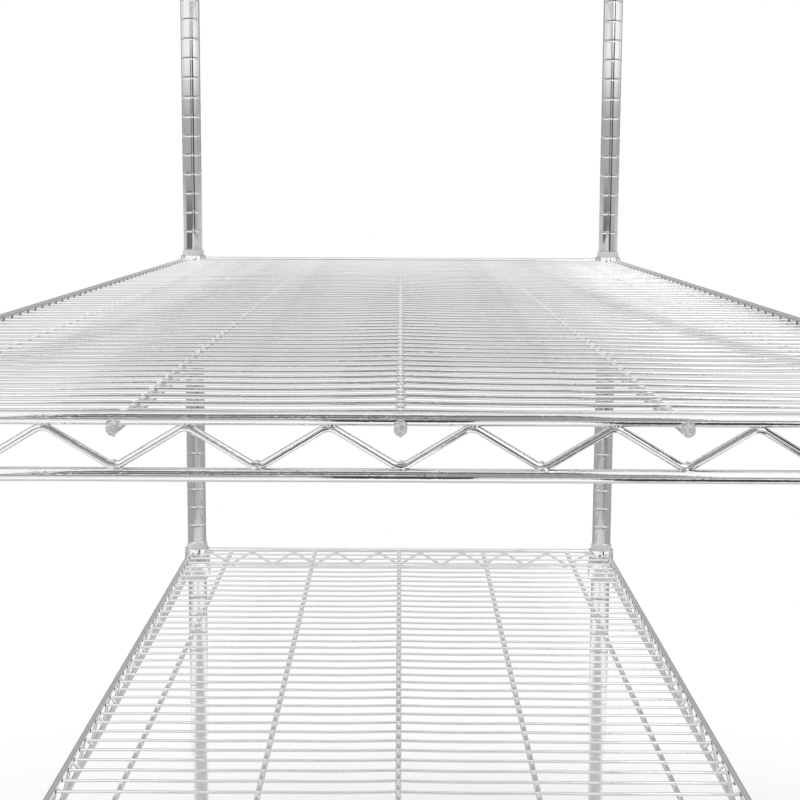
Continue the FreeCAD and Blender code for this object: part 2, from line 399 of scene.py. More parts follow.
def thread_surface():
    """Rolled thread: crests and roots that climb one pitch in each turn."""
    turns = math.floor((stud_high.z - hexagon_top) / thread_pitch) - 1
    steps = turns * thread_sides
    points = []
    for step in range(steps + 1):
        rise = hexagon_top + thread_pitch * step / thread_sides
        taper = min(1.0, step / thread_sides, (steps - step) / thread_sides)
        outline = []
        for radius, share in thread_profile:
            outline.append((thread_root + (radius - thread_root) * taper, rise + share * thread_pitch))
        points += at_angle(outline, 2 * math.pi * step / thread_sides)
    faces = ring_faces(steps + 1, len(thread_profile), around=False)
    core = turned_surface([
        (0.0, hexagon_top),
        (thread_root, hexagon_top),
        (thread_root, stud_high.z - stud_tip),
        (thread_root - stud_tip, stud_high.z),
        (0.0, stud_high.z),
    ], thread_sides)
    return joined_surfaces([(points, faces, points), core])


stud_surface = joined_surfaces([hexagon_surface(), thread_surface()])
add_to_corners("levelling_stud", stud_surface, 0.0, zinc_plate, "foot_stud", sharp_angle=30)

# Foot glides
# Each glide is a pressed steel disc with a raised middle that holds the stud's pivot.
# It is zinc plated like the stud, and its flat sole stands on the floor.
glide_radius = (glide_high.x - glide_low.x) / 2
glide_top_radius = 0.011
glide_edge_height = 0.0045
glide_round = 0.0008
glide_shoulder = 1.2 * glide_round
sole_round = 0.001
sole_corner = 0.0003
glide_sides = 48
socket_radius = pivot_radius + stud_gap
socket_floor = stud_low.z - stud_gap
round_share = 0.3
glide_corner = round_share * glide_round
glide_outline = [
    (0.0, 0.0),
    (glide_radius - sole_round, 0.0),
    (glide_radius - sole_corner, sole_corner),
    (glide_radius, sole_round),
    (glide_radius, glide_edge_height - glide_round),
    (glide_radius - glide_corner, glide_edge_height - glide_corner),
    (glide_radius - glide_round, glide_edge_height),
    (glide_top_radius + glide_round, glide_high.z - glide_shoulder),
    (glide_top_radius, glide_high.z - glide_corner),
    (glide_top_radius - glide_round, glide_high.z),
    (socket_radius, glide_high.z),
    (socket_radius, socket_floor),
    (0.0, socket_floor),
]
glide_surface = turned_surface(glide_outline, glide_sides)
add_to_corners("levelling_glide", glide_surface, 0.0, zinc_plate, "foot_glide")

# Split sleeves
# At each corner of a shelf two moulded plastic halves clip round the post, with a bead in one groove.
# Together they make a cone, thicker at the bottom, that the shelf's collar wedges down on.
shelf_numbers = range(1, 6)
sleeve_boxes = [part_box(f"split_sleeves_{number}") for number in shelf_numbers]
shelf_bases = [low.z for low, high in sleeve_boxes]
sleeve_height = sleeve_boxes[0][1].z - sleeve_boxes[0][0].z
sleeve_clearance = 0.0001
sleeve_bore = post_radius + sleeve_clearance
sleeve_top_wall = 0.0013
sleeve_bottom_wall = 0.003
sleeve_round = 0.0004
sleeve_split = 0.0006
sleeve_bead_depth = 0.0001
sleeve_bead_half_height = 0.0007
sleeve_sides = 28


def sleeve_radius(height):
    """Outer radius of the cone that the halves make, at a height above its lower end."""
    return sleeve_bore + sleeve_bottom_wall - (sleeve_bottom_wall - sleeve_top_wall) * height / sleeve_height


sleeve_outline = [
    (sleeve_bore, 0.0),
    (sleeve_radius(0.0) - sleeve_round, 0.0),
    (sleeve_radius(sleeve_round), sleeve_round),
    (sleeve_radius(sleeve_height - sleeve_round), sleeve_height - sleeve_round),
    (sleeve_radius(sleeve_height) - sleeve_round, sleeve_height),
    (sleeve_bore, sleeve_height),
    (sleeve_bore, sleeve_height / 2 + sleeve_bead_half_height),
    (sleeve_bore - sleeve_bead_depth, sleeve_height / 2),
    (sleeve_bore, sleeve_height / 2 - sleeve_bead_half_height),
]
sleeve_plastic = moulded_plastic(
    "sleeve_plastic",
    colour=(0.76, 0.76, 0.77),
    shade=(0.7, 0.7, 0.71),
    smoothest=0.3,
    roughest=0.46,
    grain_depth=0.000008,
)
half_gap = sleeve_split / 2 / sleeve_bore
sleeve_surfaces = []
for x, y in corner_places.values():
    for start in (-math.pi / 2, math.pi / 2):
        half = turned_surface(sleeve_outline, sleeve_sides, start + half_gap, start + math.pi - half_gap)
        sleeve_surfaces.append(shifted(half, x, y, 0.0))
sleeve_shape = finish_mesh("sleeve_halves", joined_surfaces(sleeve_surfaces))
for number, base in zip(shelf_numbers, shelf_bases):
    name = f"sleeve_halves_{number}"
    nodes = [f"split_sleeves_{number}"]
    add_piece(name, sleeve_shape, sleeve_plastic, "uprights", nodes, base)

# Corner collars
# A tapered steel ring at each corner of a shelf wedges down over the sleeve.
# The ends of the rails are welded to it, and the whole shelf is chrome plated after welding.
collar_low, collar_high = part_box("shelf_1_corner_collars")
collar_base = collar_low.z - shelf_bases[0]
collar_top = collar_high.z - shelf_bases[0]
collar_gap = 0.0003
collar_wall = 0.002
collar_round = 0.0007
collar_corner = round_share * collar_round
collar_sides = 64


def collar_radius(height):
    """Outer radius of a collar at a height above the sleeve's lower end."""
    return sleeve_radius(height) + collar_gap + collar_wall


def add_to_shelves(name, surfaces, material, node=None, sharp_angle=40):
    """Put one like piece on each shelf, in place of that shelf's node if there is one."""
    shape = finish_mesh(name, joined_surfaces(surfaces), sharp_angle)
    for number, base in zip(shelf_numbers, shelf_bases):
        nodes = [f"shelf_{number}_{node}"] if node else []
        add_piece(f"{name}_{number}", shape, material, f"shelf_{number}", nodes, base)


shelf_chrome = chrome_finish(
    "shelf_chrome",
    light=(0.98, 0.98, 0.9849),
    dull=(0.94, 0.94, 0.9494),
    sheen=0.035,
    streak_depth=0.00005,
    pit_depth=0.000006,
)
base_radius = collar_radius(collar_base)
top_radius = collar_radius(collar_top)
collar_outline = [
    (base_radius - collar_wall, collar_base),
    (base_radius - collar_round, collar_base),
    (base_radius - collar_corner, collar_base + collar_corner),
    (base_radius, collar_base + collar_round),
    (top_radius, collar_top - collar_round),
    (top_radius - collar_corner, collar_top - collar_corner),
    (top_radius - collar_round, collar_top),
    (top_radius - collar_wall, collar_top),
]
collar_surface = turned_surface(collar_outline, collar_sides)
collar_surfaces = [shifted(collar_surface, x, y, 0.0) for x, y in corner_places.values()]
add_to_shelves("collar_rings", collar_surfaces, shelf_chrome, "corner_collars")

# Edge rails
# An upper and a lower rail of drawn steel wire run along each side and end of a shelf.
# They butt against the collars and are welded there.
top_rail_low, top_rail_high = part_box("shelf_1_top_rails")
bottom_rail_low, bottom_rail_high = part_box("shelf_1_bottom_rails")
rail_radius = (top_rail_high.z - top_rail_low.z) / 2
top_rail_height = (top_rail_low.z + top_rail_high.z) / 2 - shelf_bases[0]
bottom_rail_height = (bottom_rail_low.z + bottom_rail_high.z) / 2 - shelf_bases[0]
end_rail_x = top_rail_high.x - rail_radius
side_rail_y = top_rail_high.y - rail_radius
rail_sides = 32
rail_stations = 60
rail_wave = 0.00004
wave_count = (3, 5)
rail_sink = 0.002
rail_end_round = 0.0003


def wire_surface(path, radius, sides, end_round):
    """Round wire along a path of points, with slightly rounded flat ends."""
    stations = [Vector(point) for point in path]
    last = len(stations) - 1
    across = (stations[1] - stations[0]).normalized().orthogonal().normalized()
    rings = []
    for number, centre in enumerate(stations):
        along = (stations[min(number + 1, last)] - stations[max(number - 1, 0)]).normalized()
        across = (across - along * across.dot(along)).normalized()
        end_ring = (centre, along, across, radius - end_round)
        if number == 0:
            rings += [end_ring, (centre + along * end_round, along, across, radius)]
        elif number == last:
            rings += [(centre - along * end_round, along, across, radius), end_ring]
        else:
            rings.append((centre, along, across, radius))
    points = []
    places = []
    length = stations[0].x + stations[0].y
    before = rings[0][0]
    for centre, along, across, reach in rings:
        other = along.cross(across)
        length += (centre - before).length
        before = centre
        for side in range(sides):
            angle = 2 * math.pi * side / sides
            points.append(tuple(centre + (across * math.cos(angle) + other * math.sin(angle)) * reach))
            places.append((length, reach * math.cos(angle), reach * math.sin(angle)))
    faces = ring_faces(len(rings), sides)
    faces.append(tuple(range(sides)))
    faces.append(tuple(range((len(rings) - 1) * sides, len(rings) * sides)))
    return points, faces, places


def wavy_line(start, end, stations, wave, dice):
    """Points from start to end that stray up and down a little, as drawn and welded wire does."""
    start = Vector(start)
    end = Vector(end)
    phase = dice.uniform(0, 2 * math.pi)
    waves = dice.uniform(*wave_count)
    points = []
    for number in range(stations + 1):
        share = number / stations
        stray = wave * math.sin(phase + 2 * math.pi * waves * share) * math.sin(math.pi * share)
        points.append(start.lerp(end, share) + Vector((0, 0, stray)))
    return points


def collar_chord(height, offset):
    """Half the width of a collar along a line that passes its middle at an offset."""
    return math.sqrt(collar_radius(height) ** 2 - offset ** 2)


def rail_surfaces(height, dice):
    """The four rails of one level, cut back to the collars."""
    end_reach = post_y - collar_chord(height, end_rail_x - post_x) + rail_sink
    side_reach = post_x - collar_chord(height, side_rail_y - post_y) + rail_sink
    surfaces = []
    for side in (-1, 1):
        end_x = side * end_rail_x
        side_y = side * side_rail_y
        end_rail = [(end_x, -end_reach, height), (end_x, end_reach, height)]
        side_rail = [(-side_reach, side_y, height), (side_reach, side_y, height)]
        for start, end in (end_rail, side_rail):
            path = wavy_line(start, end, rail_stations, rail_wave, dice)
            surfaces.append(wire_surface(path, rail_radius, rail_sides, rail_end_round))
    return surfaces


rail_dice = random.Random(11)
top_rails = rail_surfaces(top_rail_height, rail_dice)
add_to_shelves("top_rail_wires", top_rails, shelf_chrome, "top_rails")
bottom_rails = rail_surfaces(bottom_rail_height, rail_dice)
add_to_shelves("bottom_rail_wires", bottom_rails, shelf_chrome, "bottom_rails")

# Truss wires
# A thin wire bent into a zigzag stiffens each edge of a shelf.
# Its peaks are welded under the upper rail and its valleys on the lower one.
truss_radius = 0.0017
truss_bend_radius = 0.0062
truss_sides = 18
truss_bend_steps = 6
truss_sink = 0.0007
truss_end_sink = 0.001
thin_end_round = 0.0002
stringer_spacing = 0.118
truss_high = top_rail_height - rail_radius - truss_radius + truss_sink
truss_low = bottom_rail_height + rail_radius + truss_radius - truss_sink
truss_chord = collar_chord(collar_top, end_rail_x - post_x)
end_truss_pitch = stringer_spacing / 2
end_truss_count = 9
side_truss_length = 2 * (post_x - truss_chord)
side_truss_count = round(side_truss_length / end_truss_pitch)
side_truss_pitch = side_truss_length / side_truss_count


def zigzag_line(pitch, count, limit):
    """Distances and heights along a zigzag with round bends, peaks at both ends, cut off at a limit."""
    step = pitch / 2
    rise = truss_high - truss_low - 2 * truss_bend_radius
    slope = math.atan2(rise, step) + math.asin(2 * truss_bend_radius / math.hypot(step, rise))
    first = -pitch * count / 2
    line = [(-limit, truss_high)]
    for number in range(2 * count + 1):
        crest = first + number * step
        sign = 1 if number % 2 == 0 else -1
        level = truss_high if sign > 0 else truss_low
        first_bend = 0 if number == 0 else -truss_bend_steps
        last_bend = 0 if number == 2 * count else truss_bend_steps
        for bend in range(first_bend, last_bend + 1):
            turn = slope * bend / truss_bend_steps
            distance = crest + truss_bend_radius * math.sin(turn)
            line.append((distance, level - sign * truss_bend_radius * (1 - math.cos(turn))))
    line.append((limit, truss_high))
    return line


end_line = zigzag_line(end_truss_pitch, end_truss_count, post_y - truss_chord + truss_end_sink)
side_line = zigzag_line(side_truss_pitch, side_truss_count, post_x - truss_chord + truss_end_sink)
truss_surfaces = []
for side in (-1, 1):
    end_path = [(side * end_rail_x, distance, height) for distance, height in end_line]
    side_path = [(distance, side * side_rail_y, height) for distance, height in side_line]
    for path in (end_path, side_path):
        truss_surfaces.append(wire_surface(path, truss_radius, truss_sides, thin_end_round))
add_to_shelves("truss_zigzags", truss_surfaces, shelf_chrome, "truss_wires")

# Stringers
# Five thick wires run the length of a shelf and carry its deck. The middle one bows up a little.
# They are sheared to length, and their ends are welded under the end rails and stand out a little past them.
stringer_low, stringer_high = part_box("shelf_1_stringers")
stringer_radius = 0.0027
stringer_end = stringer_high.x
stringer_height = stringer_low.z + stringer_radius - shelf_bases[0]
stringer_places = [number * stringer_spacing for number in range(-2, 3)]
stringer_sides = 24
stringer_stations = 90
stringer_wave = 0.0002
stringer_end_round = 0.0005
end_cap_length = 0.0012
crown_height = 0.0009
crown_length = 0.05
crown_width = 0.035


def crown(x, y):
    """How far the middle of the deck bulges up at a place, as its middle stringer bows a little."""
    from_end = max(stringer_end - abs(x), 0.0)
    return crown_height * (1 - math.exp(-from_end / crown_length)) * math.exp(-abs(y) / crown_width)


stringer_dice = random.Random(23)
stringer_reach = stringer_end - end_cap_length
stringer_surfaces = []
for y in stringer_places:
    start = (-stringer_reach, y, stringer_height)
    end = (stringer_reach, y, stringer_height)
    path = wavy_line(start, end, stringer_stations, stringer_wave, stringer_dice)
    path = [point + Vector((0, 0, crown(point.x, y))) for point in path]
    stringer_surfaces.append(wire_surface(path, stringer_radius, stringer_sides, stringer_end_round))
add_to_shelves("stringer_wires", stringer_surfaces, shelf_chrome, "stringers")

# Deck wires
# Thin wires lie across the stringers, welded at each crossing, and butt against the side rails.
# They sag a hair between the stringers and follow the bow of the middle one.
deck_low, deck_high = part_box("shelf_1_deck_wires")
deck_radius = (deck_high.z - deck_low.z) / 2
deck_height = (deck_low.z + deck_high.z) / 2 - shelf_bases[0]
deck_spaces = 61
deck_pitch = 2 * end_rail_x / deck_spaces
deck_places = [-end_rail_x + number * deck_pitch for number in range(1, deck_spaces)]
deck_sink = 0.0006
deck_end = side_rail_y - rail_radius + deck_sink
deck_sides = 16
deck_stations = 96
deck_sag = 0.0003
deck_sag_range = (0.5, 1.5)
deck_stray = 0.0002


def deck_reach(x):
    """How far a deck wire goes to each side: to the side rail, or to a collar that stands in its way."""
    beside = post_x - abs(x)
    if beside >= collar_radius(deck_height):
        return deck_end
    return post_y - collar_chord(deck_height, beside) + deck_sink


deck_dice = random.Random(37)
deck_surfaces = []
for x in deck_places:
    reach = deck_reach(x)
    sag = deck_sag * deck_dice.uniform(*deck_sag_range)
    stray = deck_dice.uniform(-deck_stray, deck_stray)
    path = []
    for number in range(deck_stations + 1):
        y = -reach + 2 * reach * number / deck_stations
        dip = sag * (1 - math.cos(2 * math.pi * y / stringer_spacing)) / 2
        lean = stray * math.sin(math.pi * y / deck_end)
        path.append((x + lean, y, deck_height - dip + crown(x, y)))
    deck_surfaces.append(wire_surface(path, deck_radius, deck_sides, thin_end_round))
add_to_shelves("deck_cross_wires", deck_surfaces, shelf_chrome, "deck_wires")

# Weld beads
# Each crossing of wires is spot welded under pressure, which squeezes a small collar of metal out beside it.
# The beads are plated over with the rest of the shelf.
bead_rings = 6
bead_sides = 8
bead_unevenness = 0.08
bead_sharp_angle = 60
peak_height = top_rail_height - rail_radius
valley_height = bottom_rail_height + rail_radius
peak_bead = (0.0021, 0.0019, 0.0008)
valley_bead = (0.0034, 0.0021, 0.0009)
electrode_mark = (0.001, 0.0011, 0.0008)
electrode_stray = 0.0008
collar_bead = (0.002, 0.0038, 0.0038)


def bead_surface(centre, reach, dice):
    """One small lump of squeezed-out metal, slightly uneven, from its middle and half sizes."""
    points = []
    for ring in range(bead_rings + 1):
        polar = math.pi * ring / bead_rings
        for side in range(bead_sides):
            angle = 2 * math.pi * side / bead_sides
            uneven = 1 + dice.uniform(-bead_unevenness, bead_unevenness)
            points.append((
                centre[0] + reach[0] * uneven * math.sin(polar) * math.cos(angle),
                centre[1] + reach[1] * uneven * math.sin(polar) * math.sin(angle),
                centre[2] + reach[2] * math.cos(polar),
            ))
    return points, ring_faces(bead_rings + 1, bead_sides), points


def edge_bead(along_x, distance, side, height, reach, dice):
    """A bead on the middle line of an edge of the shelf, turned to lie along it."""
    along, across, up = reach
    if along_x:
        return bead_surface((distance, side * side_rail_y, height), (along, across, up), dice)
    return bead_surface((side * end_rail_x, distance, height), (across, along, up), dice)


def truss_welds(along_x, pitch, count, dice):
    """Beads where the zigzags of two opposite edges meet their rails, and electrode marks in the valleys."""
    beads = []
    for side in (-1, 1):
        for number in range(2 * count + 1):
            distance = pitch * (number - count) / 2
            if number % 2 == 0:
                beads.append(edge_bead(along_x, distance, side, peak_height, peak_bead, dice))
            else:
                beads.append(edge_bead(along_x, distance, side, valley_height, valley_bead, dice))
                mark = distance + dice.uniform(-electrode_stray, electrode_stray)
                beads.append(edge_bead(along_x, mark, side, truss_low + truss_radius, electrode_mark, dice))
    return beads


def collar_welds(dice):
    """Beads where the rails meet the collars."""
    beads = []
    for height in (top_rail_height, bottom_rail_height):
        chord = collar_chord(height, end_rail_x - post_x)
        for side_x in (-1, 1):
            for side_y in (-1, 1):
                beads.append(edge_bead(False, side_y * (post_y - chord), side_x, height, collar_bead, dice))
                beads.append(edge_bead(True, side_x * (post_x - chord), side_y, height, collar_bead, dice))
    return beads


weld_dice = random.Random(53)
weld_surfaces = truss_welds(False, end_truss_pitch, end_truss_count, weld_dice)
weld_surfaces += truss_welds(True, side_truss_pitch, side_truss_count, weld_dice)
weld_surfaces += collar_welds(weld_dice)
add_to_shelves("weld_beads", weld_surfaces, shelf_chrome, sharp_angle=bead_sharp_angle)

# Weld marks
# The electrodes leave a dull, slightly swollen spot on each deck wire where it crosses a stringer.
# Metal squeezed out beside the wire lies on the stringer as two lumps. The near-white colour of spots and
# lumps is painted highlight.
spot_radius = deck_radius + 0.0001
spot_reach = (spot_radius, 0.0026, spot_radius)
lump_reach = (0.0009, 0.0019, 0.0006)
lump_distance = deck_radius + 0.0004


def dull_finish(name, metallic, dark, pale, blotch_scale, relief_depth):
    """Dull, uneven, blotchy steel finish: rough steel under thin plating, and the welds' painted highlight
    and painted shade.
    """
    material, tree = new_finish(name)
    place = add_node(tree, "TexCoord", {}, "Object")
    grain = {"Scale": blotch_scale, "Detail": 4.0, "Distortion": 1.5}
    blotches = add_node(tree, "TexNoise", {"Vector": place, **grain})
    tint = add_ramp(tree, blotches, [(0.35, dark), (0.62, pale)])
    rough = add_span(tree, blotches, low_result=0.3, high_result=0.6)
    relief = add_node(tree, "Bump", {"Distance": relief_depth, "Height": blotches})
    set_shader(tree, metallic, tint, rough, relief)
    return material


# The near-white colour of this finish is painted highlight on the weld marks.
weld_painted_highlight = dull_finish(
    "weld_painted_highlight",
    metallic=0.4,
    dark=(0.85, 0.85, 0.867),
    pale=(0.98, 0.98, 0.9898),
    blotch_scale=500.0,
    relief_depth=0.00008,
)
mark_dice = random.Random(61)
mark_surfaces = []
for x in deck_places:
    for y in stringer_places:
        lift = crown(x, y)
        mark_surfaces.append(bead_surface((x, y, deck_height + lift), spot_reach, mark_dice))
        for side in (-1, 1):
            lump = (x + side * lump_distance, y, stringer_height + stringer_radius + lift)
            mark_surfaces.append(bead_surface(lump, lump_reach, mark_dice))
add_to_shelves("weld_marks", mark_surfaces, weld_painted_highlight, sharp_angle=bead_sharp_angle)

# Deck end welds
# The ends of the deck wires are welded to the side rails, tucked in below them.
# Their dark, dull colour is painted shade for the contact shadow where each wire end meets the rail.
end_weld_reach = (0.0025, 0.0016, 0.0018)
# The dark colour of this finish is painted shade at the deck wire ends.
weld_painted_shade = dull_finish(
    "weld_painted_shade",
    metallic=0.5,
    dark=(0.12, 0.12, 0.1224),
    pale=(0.3, 0.3, 0.303),
    blotch_scale=600.0,
    relief_depth=0.0001,
)
end_weld_dice = random.Random(67)
end_weld_surfaces = []
for x in deck_places:
    for side in (-1, 1):
        end_weld_place = (x, side * deck_reach(x), deck_height)
        end_weld_surfaces.append(bead_surface(end_weld_place, end_weld_reach, end_weld_dice))
add_to_shelves("deck_end_welds", end_weld_surfaces, weld_painted_shade, sharp_angle=bead_sharp_angle)

# Sheared ends
# The shear leaves each stringer a rough, swollen end with a burr, dull under its plating.
# The weld to the end rail squeezes a thin crescent of metal out above it.
end_sides = 24
end_rings = [0.0, 0.3, 0.55, 0.78, 0.93, 1.0]
end_unevenness = 0.04
end_swell = 0.0004
end_ridge = 0.00016
end_ridge_twist = 7
end_middle = stringer_height + 0.0003
end_height_ratio = 1.14
crescent_radius = 0.0004
crescent_sides = 8
crescent_steps = 10
crescent_start = 0.14
crescent_sweep = 0.72
crescent_height = 1.24 * stringer_radius
crescent_half_width = 1.16 * stringer_radius
crescent_lean = 0.2
burr_depth = 0.0006
burr_inset = 0.0008
burr_stray = 0.0014
burr_drop = (0.7, 0.95)
burr_half_width = (0.0006, 0.0012)
burr_half_height = (0.0005, 0.001)


def sheared_end(side, y, dice):
    """One rough end with its rim, facing out along X on the given side."""
    points = []
    phase = dice.uniform(0, 2 * math.pi)
    for share in end_rings + [1.0]:
        for number in range(end_sides):
            angle = 2 * math.pi * number / end_sides
            reach = stringer_radius * share * (1 + end_unevenness * math.sin(2 * angle + phase))
            ridge = end_ridge * math.sin(3 * angle + phase + end_ridge_twist * share) * share
            swell = end_swell * (1 - share ** 2) + ridge
            points.append((
                side * (stringer_end - end_swell + swell),
                y + reach * math.cos(angle),
                end_middle + reach * end_height_ratio * math.sin(angle),
            ))
    rim = len(points) - end_sides
    points[rim:] = [(x - side * end_cap_length, py, z) for x, py, z in points[rim:]]
    faces = ring_faces(len(end_rings) + 1, end_sides)
    faces.append(tuple(range(rim, rim + end_sides)))
    return points, faces, points


def weld_crescent(side, y, dice):
    """Thin roll of metal round the upper half of an end, lying on the rail."""
    path = []
    lean = dice.uniform(-crescent_lean, crescent_lean)
    for step in range(crescent_steps + 1):
        angle = math.pi * (crescent_start + crescent_sweep * step / crescent_steps) + lean
        height = end_middle + crescent_height * math.sin(angle)
        drop = min(abs(height - top_rail_height), rail_radius)
        out = end_rail_x + math.sqrt(rail_radius ** 2 - drop ** 2)
        path.append((side * out, y + crescent_half_width * math.cos(angle), height))
    return wire_surface(path, crescent_radius, crescent_sides, thin_end_round)


def end_burr(side, y, dice):
    """One lump that the shear drags down at the lower edge of an end."""
    burr_y = y + dice.uniform(-burr_stray, burr_stray)
    burr_z = stringer_height - stringer_radius * dice.uniform(*burr_drop)
    place = (side * (stringer_end - burr_inset), burr_y, burr_z)
    reach = (burr_depth, dice.uniform(*burr_half_width), dice.uniform(*burr_half_height))
    return bead_surface(place, reach, dice)


sheared_steel = dull_finish(
    "sheared_steel",
    metallic=0.3,
    dark=(0.46, 0.46, 0.4692),
    pale=(0.86, 0.86, 0.8686),
    blotch_scale=750.0,
    relief_depth=0.00025,
)
end_dice = random.Random(71)
end_surfaces = []
for side in (-1, 1):
    for y in stringer_places:
        end_surfaces.append(sheared_end(side, y, end_dice))
        end_surfaces.append(weld_crescent(side, y, end_dice))
        end_surfaces.append(end_burr(side, y, end_dice))
add_to_shelves("sheared_ends", end_surfaces, sheared_steel, sharp_angle=bead_sharp_angle)

# Floor
# A plain white sweep lies under the unit, matt where it takes the soft shadow, and fades into the white room.
# The bright metal mirrors it as white round the unit, and dimmer far away.
# The dimmer part under the unit is painted shade in what the metal mirrors, for the shelves' shadow on the
# floor.
floor_reach = 7.0
floor_front = 2.0
floor_white = (0.93, 0.93, 0.93, 1)
full_white = (1, 1, 1, 1)
fade_start = 0.9
fade_end = 1.7
# Brightness of the mirrored floor by distance: the dim stops under the unit are painted shade for the
# shelves' shadow.
painted_shade_floor_stops = [(0.5, 0.55), (0.8, 0.65), (1.1, 1.0), (1.5, 1.0), (2.3, 0.4)]


def add_math(tree, operation, *values):
    """New node that works out one number from others."""
    node = tree.nodes.new("ShaderNodeMath")
    node.operation = operation
    feed(tree, node, dict(enumerate(values)))
    return node.outputs["Value"]


def grey(brightness):
    """Neutral colour of a brightness."""
    return (brightness, brightness, brightness)


def add_sheet(name, corners):
    """Flat stage sheet between four corners."""
    sheet = bpy.data.objects.new(name, bpy.data.meshes.new(name))
    sheet.data.from_pydata(corners, [], [(0, 1, 2, 3)])
    bpy.context.scene.collection.objects.link(sheet)
    return sheet


floor = add_sheet("floor", [
    (-floor_reach, -floor_reach, 0),
    (floor_front, -floor_reach, 0),
    (floor_front, floor_reach, 0),
    (-floor_reach, floor_reach, 0),
])
floor_paint, floor_tree = new_finish("floor_paint")
floor_tree.nodes.clear()
distance_node = floor_tree.nodes.new("ShaderNodeVectorMath")
distance_node.operation = "LENGTH"
feed(floor_tree, distance_node, {0: add_node(floor_tree, "TexCoord", {}, "Object")})
distance = distance_node.outputs["Value"]
fade = add_span(floor_tree, distance, low=fade_start, high=fade_end, curve="SMOOTHSTEP")
rays = floor_tree.nodes.new("ShaderNodeLightPath").outputs
seen = add_math(floor_tree, "MAXIMUM", rays["Is Camera Ray"], rays["Is Transmission Ray"])
faded = add_math(floor_tree, "MULTIPLY", fade, seen)
white_share = add_math(floor_tree, "MAXIMUM", faded, rays["Is Glossy Ray"])
floor_share = add_span(floor_tree, distance, high=floor_reach)
mirrored_stops = [(reach / floor_reach, grey(brightness)) for reach, brightness in painted_shade_floor_stops]
mirrored_floor = add_ramp(floor_tree, floor_share, mirrored_stops)
floor_glow = add_node(floor_tree, "Mix", {"Factor": rays["Is Glossy Ray"], "A": 1.0, "B": mirrored_floor})
matt = add_node(floor_tree, "BsdfDiffuse", {"Color": floor_white})
white = add_node(floor_tree, "Emission", {"Color": full_white, "Strength": floor_glow})
blend = add_node(floor_tree, "MixShader", {"Fac": white_share, 1: matt, 2: white})
feed(floor_tree, floor_tree.nodes.new("ShaderNodeOutputMaterial"), {"Surface": blend})
floor.data.materials.append(floor_paint)

# Room
# A white backdrop stands behind the unit, grey above it, with grey panels at the sides.
# Low behind the camera is a dark strip. The bright metal mirrors these walls, and the rest is lit evenly.
even_strength = 0.75
room = bpy.data.worlds.new("room")
bpy.context.scene.world = room
room.use_nodes = True
room_tree = room.node_tree
room_tree.nodes.clear()
axes_node = room_tree.nodes.new("ShaderNodeSeparateXYZ")
feed(room_tree, axes_node, {"Vector": add_node(room_tree, "TexCoord", {}, "Generated")})
axes = axes_node.outputs
elevation = add_math(room_tree, "ARCSINE", axes["Z"])
height_share = add_span(room_tree, elevation, low=-math.pi / 2, high=math.pi / 2)
azimuth = add_math(room_tree, "ARCTAN2", axes["Y"], axes["X"])
azimuth_size = add_math(room_tree, "ABSOLUTE", azimuth)


def wall(stops):
    """Brightness of a wall of the room by elevation in degrees, from the floor up to overhead."""
    shares = [((degrees + 90) / 180, grey(brightness)) for degrees, brightness in stops]
    return add_ramp(room_tree, height_share, shares)


def between(first_wall, second_wall, angle, first_degrees, second_degrees):
    """One wall up to an angle, the other beyond it, with a soft change between."""
    low = math.radians(first_degrees)
    high = math.radians(second_degrees)
    change = add_span(room_tree, angle, low=low, high=high, curve="SMOOTHSTEP")
    return add_node(room_tree, "Mix", {"Factor": change, "A": first_wall, "B": second_wall})


behind_camera = wall([
    (-90, 1.0), (-44, 1.0), (-36, 0.9), (-26, 0.65), (-18, 0.38), (-6, 0.34), (-4, 0.16), (-1, 0.16),
    (0.5, 0.42), (3, 0.45), (4.5, 0.95), (55, 1.0), (75, 0.95), (90, 0.9),
])
right_of_camera = wall([
    (-90, 1.0), (-24, 0.95), (-17, 0.34), (-7, 0.3), (-4, 0.4), (-1, 0.45), (0.5, 0.45), (3, 0.5), (4.5, 1.0),
    (55, 1.0), (75, 0.95), (90, 0.85),
])
side_panels = wall([
    (-90, 1.0), (-30, 0.95), (-18, 0.5), (-7, 0.45), (-1, 0.6), (0.5, 0.42), (3, 0.42), (4.5, 0.8),
    (8, 0.8), (14, 0.42), (48, 0.42), (62, 0.8), (90, 0.85),
])
beside_backdrop = wall([
    (-90, 1.0), (-25, 0.8), (-1, 0.65), (1, 0.36), (40, 0.42), (90, 0.85),
])
backdrop = wall([
    (-90, 1.0), (4, 1.0), (7, 0.42), (30, 0.45), (60, 0.8), (90, 0.85),
])
front = between(behind_camera, right_of_camera, azimuth, 7, 14)
front_half = between(front, side_panels, azimuth_size, 66, 84)
far_half = between(beside_backdrop, backdrop, azimuth_size, 170, 175)
mirrored = between(front_half, far_half, azimuth_size, 118, 132)
mirrored_room = add_node(room_tree, "Background", {"Color": mirrored})
even_light = add_node(room_tree, "Background", {"Color": full_white, "Strength": even_strength})
seen_white = add_node(room_tree, "Background", {"Color": full_white, "Strength": 1.0})
rays = room_tree.nodes.new("ShaderNodeLightPath").outputs
direct = add_math(room_tree, "MAXIMUM", rays["Is Camera Ray"], rays["Is Transmission Ray"])
lighting = add_node(room_tree, "MixShader", {"Fac": rays["Is Glossy Ray"], 1: even_light, 2: mirrored_room})
shown = add_node(room_tree, "MixShader", {"Fac": direct, 1: lighting, 2: seen_white})
feed(room_tree, room_tree.nodes.new("ShaderNodeOutputWorld"), {"Surface": shown})

# Screens
# Behind the camera hang a dark cloth and a paler flap, under a grey card. A stand and a card are lower down,
# and a dark card is at one side. Only the bright metal mirrors them, which gives it its dark lines.


